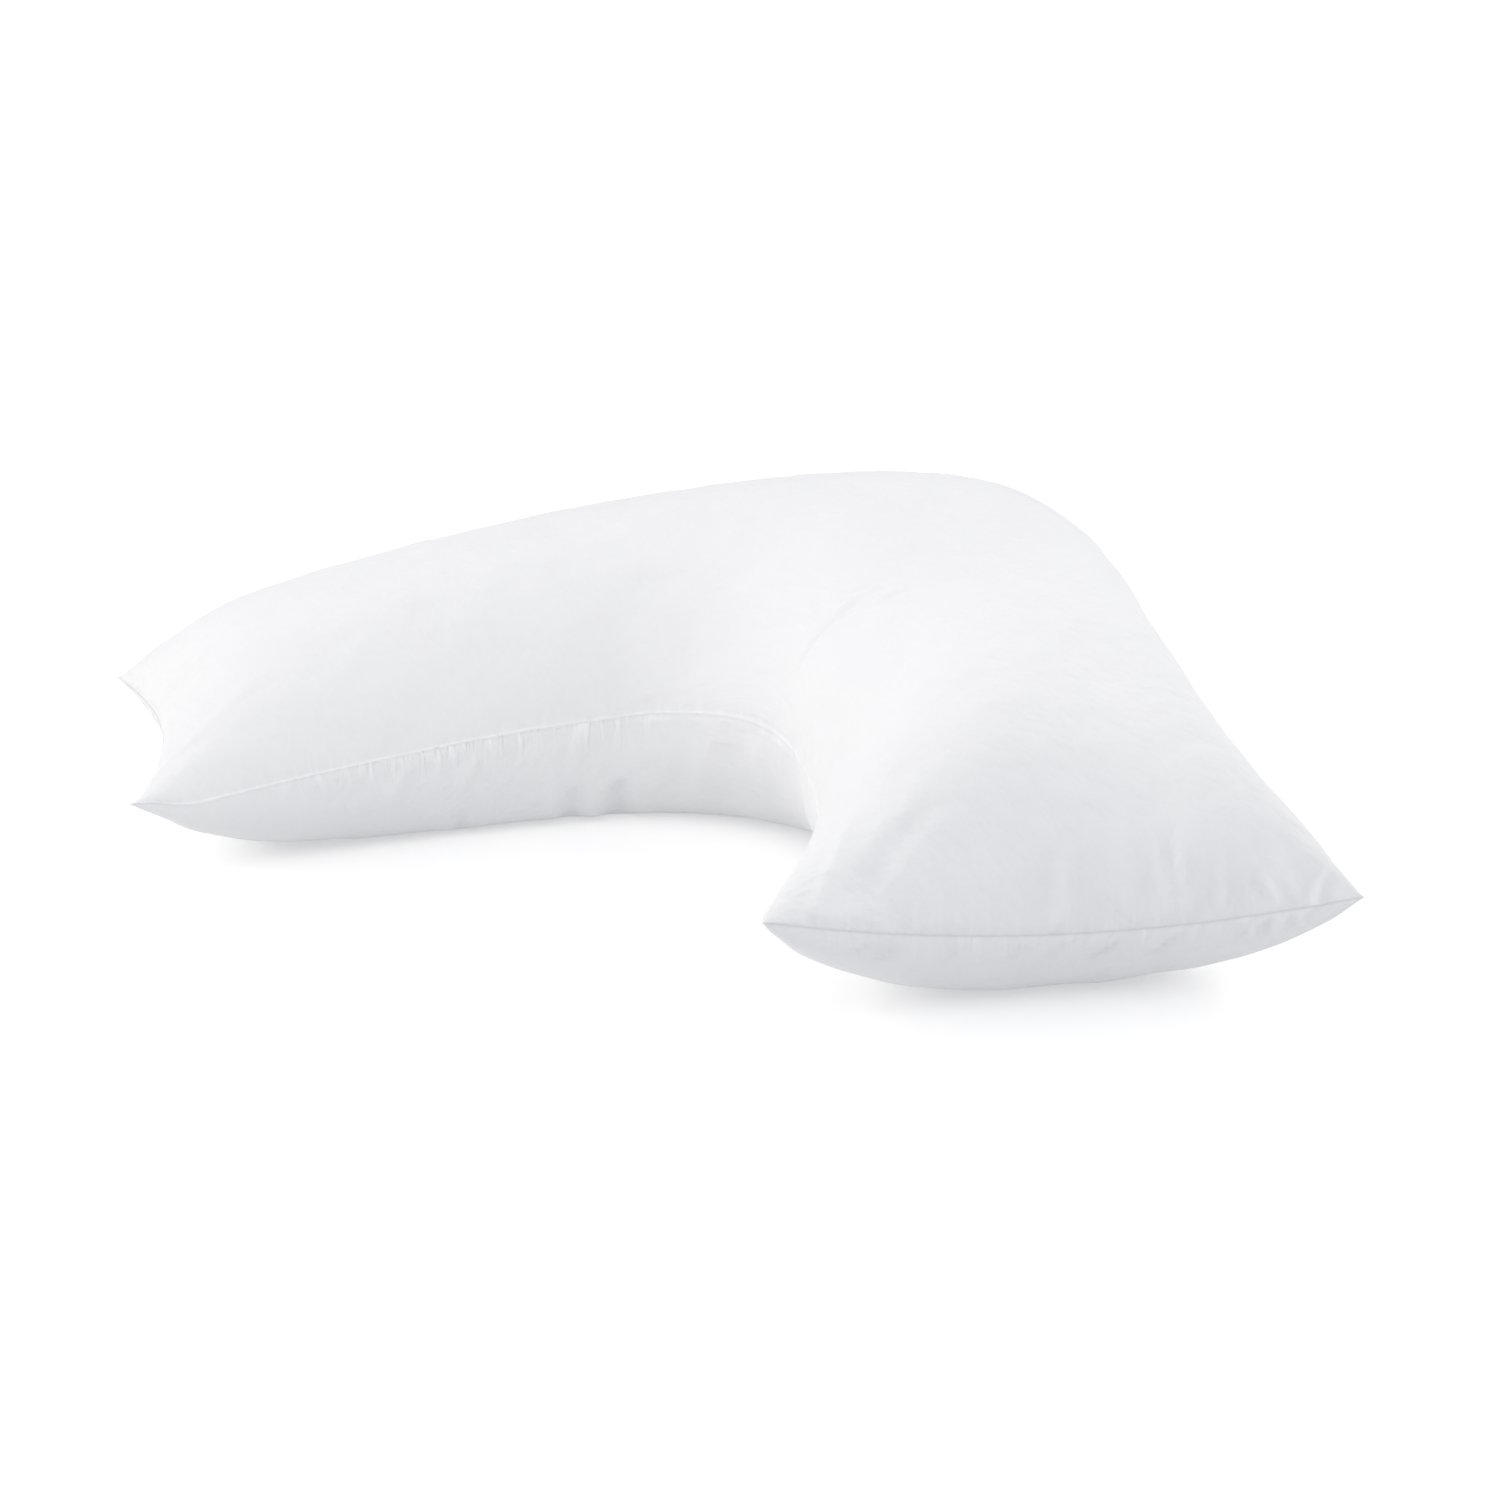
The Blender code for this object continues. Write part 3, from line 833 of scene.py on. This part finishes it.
def cotton():
    """Plain woven white cotton, matt: two sets of threads, uneven yarn, soft ripples, fine gathers at the
    seams with a painted highlight on their crests, a seam line with painted highlight and shade, a little
    sheen, and whites and roughness that vary a little."""
    material = bpy.data.materials.new("cotton")
    material.use_nodes = True
    nodes = material.node_tree.nodes
    links = material.node_tree.links
    shader = nodes["Principled BSDF"]
    shader.inputs["Specular IOR Level"].default_value = 0.3
    shader.inputs["Sheen Weight"].default_value = 0.08
    shader.inputs["Sheen Roughness"].default_value = 0.6

    def add(kind, **settings):
        """A new node; a setting is one of its own or, failing that, the value of an input."""
        node = nodes.new("ShaderNode" + kind)
        for name, value in settings.items():
            if hasattr(node, name):
                setattr(node, name, value)
            else:
                node.inputs[name.replace("_", " ")].default_value = value
        return node

    def stretched_noise(source, turn, scale, detail):
        """Noise over a UV map, turned and stretched."""
        mapping = add("Mapping", Rotation=(0, 0, turn), Scale=scale)
        noise = add("TexNoise", noise_dimensions="2D", Scale=1.0, Detail=detail)
        links.new(source.outputs["UV"], mapping.inputs["Vector"])
        links.new(mapping.outputs["Vector"], noise.inputs["Vector"])
        return noise

    def bump(height, distance, before=None):
        """A bump of so many metres on top of the one before."""
        node = add("Bump", Strength=1.0, Distance=distance)
        links.new(height, node.inputs["Height"])
        if before:
            links.new(before.outputs["Normal"], node.inputs["Normal"])
        return node

    cut = add("UVMap", uv_map="cut")
    run = add("UVMap", uv_map="seam_run")
    # A wave texture repeats every pi / 10 / Scale metres
    threads = []
    for direction in ("X", "Y"):
        wave = add("TexWave", bands_direction=direction, Scale=np.pi / 10 / THREAD_PITCH, Distortion=0.4)
        links.new(cut.outputs["UV"], wave.inputs["Vector"])
        threads.append(wave)
    weave = add("Math", operation="MULTIPLY")
    links.new(threads[0].outputs["Fac"], weave.inputs[0])
    links.new(threads[1].outputs["Fac"], weave.inputs[1])
    warp = stretched_noise(cut, 0.0, WARP_SCALE, 2.0)
    weft = stretched_noise(cut, 0.0, WEFT_SCALE, 2.0)
    yarn = add("Math", operation="ADD")
    links.new(warp.outputs["Fac"], yarn.inputs[0])
    links.new(weft.outputs["Fac"], yarn.inputs[1])
    ripples = stretched_noise(cut, 0.4, RIPPLE_SCALE, 2.5)
    ticks = stretched_noise(run, 0.25, TICK_SCALE, 1.0)

    gather = add("Attribute", attribute_name="gather")
    crest = add("MapRange", From_Min=TICK_CREST[0], From_Max=TICK_CREST[1])
    links.new(ticks.outputs["Fac"], crest.inputs["Value"])
    gathered = add("Math", operation="MULTIPLY")
    links.new(crest.outputs["Result"], gathered.inputs[0])
    links.new(gather.outputs["Fac"], gathered.inputs[1])
    normal = bump(weave.outputs["Value"], THREAD_HEIGHT)
    normal = bump(yarn.outputs["Value"], YARN_HEIGHT, normal)
    normal = bump(ripples.outputs["Fac"], RIPPLE_HEIGHT, normal)
    normal = bump(gathered.outputs["Value"], TICK_HEIGHT, normal)
    links.new(normal.outputs["Normal"], shader.inputs["Normal"])

    patches = stretched_noise(cut, 0.9, PATCH_SCALE, 3.0)
    whites = add("Mix", data_type="RGBA")
    whites.inputs[6].default_value = COTTON_SHADE
    whites.inputs[7].default_value = COTTON_LIGHT
    links.new(patches.outputs["Fac"], whites.inputs["Factor"])
    # The seam line's painted highlight and shade scale the cotton's whites
    tone = add("Attribute", attribute_name="painted_seam_shading")
    amount = add("MapRange", From_Min=-1.0, From_Max=1.0, To_Min=0.0, To_Max=2.0)
    links.new(tone.outputs["Fac"], amount.inputs["Value"])
    # Painted highlight on the crests of the fine gathers, added to the seam line's painted highlight and
    # shade
    painted_light_scale = add("Math", operation="MULTIPLY_ADD")
    painted_light_scale.inputs[1].default_value = TICK_PAINTED_HIGHLIGHT
    links.new(gathered.outputs["Value"], painted_light_scale.inputs[0])
    links.new(amount.outputs["Result"], painted_light_scale.inputs[2])
    painted_base_colour = add("VectorMath", operation="SCALE")
    links.new(whites.outputs[2], painted_base_colour.inputs["Vector"])
    links.new(painted_light_scale.outputs["Value"], painted_base_colour.inputs["Scale"])
    links.new(painted_base_colour.outputs["Vector"], shader.inputs["Base Color"])
    dull = add("MapRange", To_Min=ROUGHNESS[0], To_Max=ROUGHNESS[1])
    links.new(yarn.outputs["Value"], dull.inputs["Value"])
    links.new(dull.outputs["Result"], shader.inputs["Roughness"])
    return material


def add_camera():
    """The camera at the photograph's viewing angle."""
    data = bpy.data.cameras.new("camera")
    data.lens = CAMERA_LENS_MM
    data.sensor_width = SENSOR_MM
    camera = bpy.data.objects.new("camera", data)
    camera.location = CAMERA_PLACE
    camera.rotation_euler = (np.pi / 2 - CAMERA_DOWN, 0, CAMERA_TURN)
    bpy.context.scene.collection.objects.link(camera)
    bpy.context.scene.camera = camera


def add_light(name, place, size, power):
    """A soft square light at its place, turned to AIM."""
    data = bpy.data.lights.new(name, "AREA")
    data.shape = "SQUARE"
    data.size = size
    data.energy = power
    data.color = LAMP_COLOUR
    light = bpy.data.objects.new(name, data)
    light.location = place
    away = np.array(place) - np.array(AIM)
    flat = np.hypot(away[0], away[1])
    light.rotation_euler = (np.arctan2(flat, away[2]), 0, np.arctan2(away[0], -away[1]))
    light.visible_camera = False
    bpy.context.scene.collection.objects.link(light)


def add_floor():
    """A wide pale floor. Seen, it is white and glows, more where it runs off; as a light on the pillow, it
    is a softer white with a weaker glow."""
    mesh = bpy.data.meshes.new("floor")
    corners = [(x * FLOOR_REACH, y * FLOOR_REACH, 0) for x, y in ((-1, -1), (1, -1), (1, 1), (-1, 1))]
    mesh.from_pydata(corners, [], [(0, 1, 2, 3)])
    floor = bpy.data.objects.new("floor", mesh)
    material = bpy.data.materials.new("floor")
    material.use_nodes = True
    nodes = material.node_tree.nodes
    links = material.node_tree.links
    lit = nodes["Principled BSDF"]
    shown = nodes.new("ShaderNodeBsdfPrincipled")
    for shader, white, glow in ((lit, FLOOR_WHITE_LIT, FLOOR_GLOW_LIT), (shown, FLOOR_WHITE_SEEN, 1.0)):
        shader.inputs["Base Color"].default_value = (white, white, white, 1)
        shader.inputs["Roughness"].default_value = 1.0
        shader.inputs["Specular IOR Level"].default_value = 0.0
        shader.inputs["Emission Color"].default_value = (1, 1, 1, 1)
        shader.inputs["Emission Strength"].default_value = glow
    place = nodes.new("ShaderNodeTexCoord")
    distance = nodes.new("ShaderNodeVectorMath")
    distance.operation = "LENGTH"
    glow = nodes.new("ShaderNodeMapRange")
    glow.inputs["From Min"].default_value, glow.inputs["From Max"].default_value = FLOOR_GLOW_RANGE
    glow.inputs["To Min"].default_value = FLOOR_GLOW_NEAR
    glow.inputs["To Max"].default_value = FLOOR_GLOW_FAR
    path = nodes.new("ShaderNodeLightPath")
    mix = nodes.new("ShaderNodeMixShader")
    links.new(place.outputs["Object"], distance.inputs[0])
    links.new(distance.outputs["Value"], glow.inputs["Value"])
    links.new(glow.outputs["Result"], shown.inputs["Emission Color"])
    links.new(path.outputs["Is Camera Ray"], mix.inputs["Fac"])
    links.new(lit.outputs["BSDF"], mix.inputs[1])
    links.new(shown.outputs["BSDF"], mix.inputs[2])
    links.new(mix.outputs["Shader"], nodes["Material Output"].inputs["Surface"])
    mesh.materials.append(material)
    bpy.context.scene.collection.objects.link(floor)


def add_world():
    """An even pale sky for light, with a plain white one behind the floor's edge."""
    world = bpy.data.worlds.new("studio")
    world.use_nodes = True
    nodes = world.node_tree.nodes
    links = world.node_tree.links
    sky = nodes["Background"]
    sky.inputs["Color"].default_value = (*SKY_COLOUR, 1)
    sky.inputs["Strength"].default_value = SKY_STRENGTH
    behind = nodes.new("ShaderNodeBackground")
    behind.inputs["Color"].default_value = (1, 1, 1, 1)
    behind.inputs["Strength"].default_value = FLOOR_GLOW_FAR
    path = nodes.new("ShaderNodeLightPath")
    mix = nodes.new("ShaderNodeMixShader")
    links.new(path.outputs["Is Camera Ray"], mix.inputs["Fac"])
    links.new(sky.outputs["Background"], mix.inputs[1])
    links.new(behind.outputs["Background"], mix.inputs[2])
    links.new(mix.outputs["Shader"], nodes["World Output"].inputs["Surface"])
    bpy.context.scene.world = world


add_camera()
add_world()
add_floor()
for row in LAMPS:
    add_light(**dict(zip(LAMP_COLUMNS, row)))
bpy.context.scene.view_settings.view_transform = "Standard"

pillow = cover()
pillow.data.materials.append(cotton())
bpy.context.scene.collection.objects.link(pillow)
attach(pillow, "root")
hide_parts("pillow")
